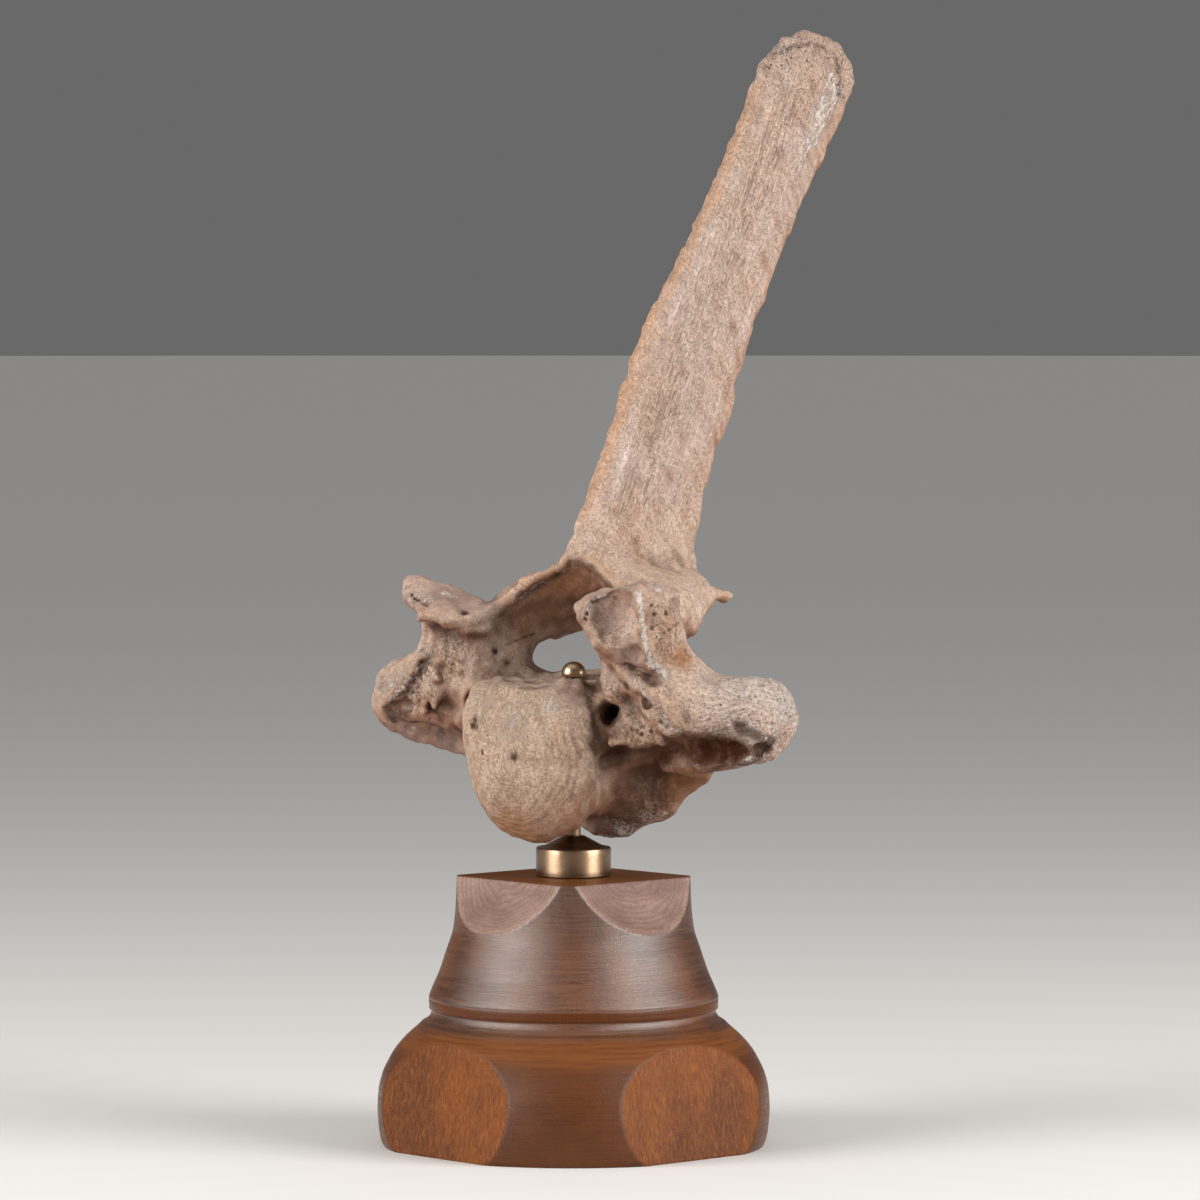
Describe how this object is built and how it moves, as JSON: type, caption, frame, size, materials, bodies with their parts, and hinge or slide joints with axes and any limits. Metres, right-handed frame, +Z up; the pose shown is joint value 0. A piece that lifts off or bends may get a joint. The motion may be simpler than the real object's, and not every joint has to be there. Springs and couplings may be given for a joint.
{
  "type": "fossil steppe bison vertebra",
  "caption": "Fossil bison vertebra with a long leaning spine, held by a thin rod over a turned wooden stand with a metal collar.",
  "frame": {"origin": "centre of the stand's flat underside, under the rod", "axes": "+Z up along the rod, the stand's flats face +X, -X, +Y and -Y, and the vertebra's head points to -Y"},
  "size_m": [0.2073, 0.2288, 0.4263],
  "materials": {
    "fossil_bone": "matte, porous, tan bone with ochre edges and dark cavities",
    "varnished_wood": "satin varnish on warm brown wood",
    "satin_brass": "brushed satin",
    "rod_metal": "satin"
  },
  "bodies": {
    "root": {"vertebra": "fossil_bone", "wooden_base": "varnished_wood", "brass_collar": "satin_brass", "brass_cap": "satin_brass", "rod": "rod_metal"}
  },
  "joints": []
}
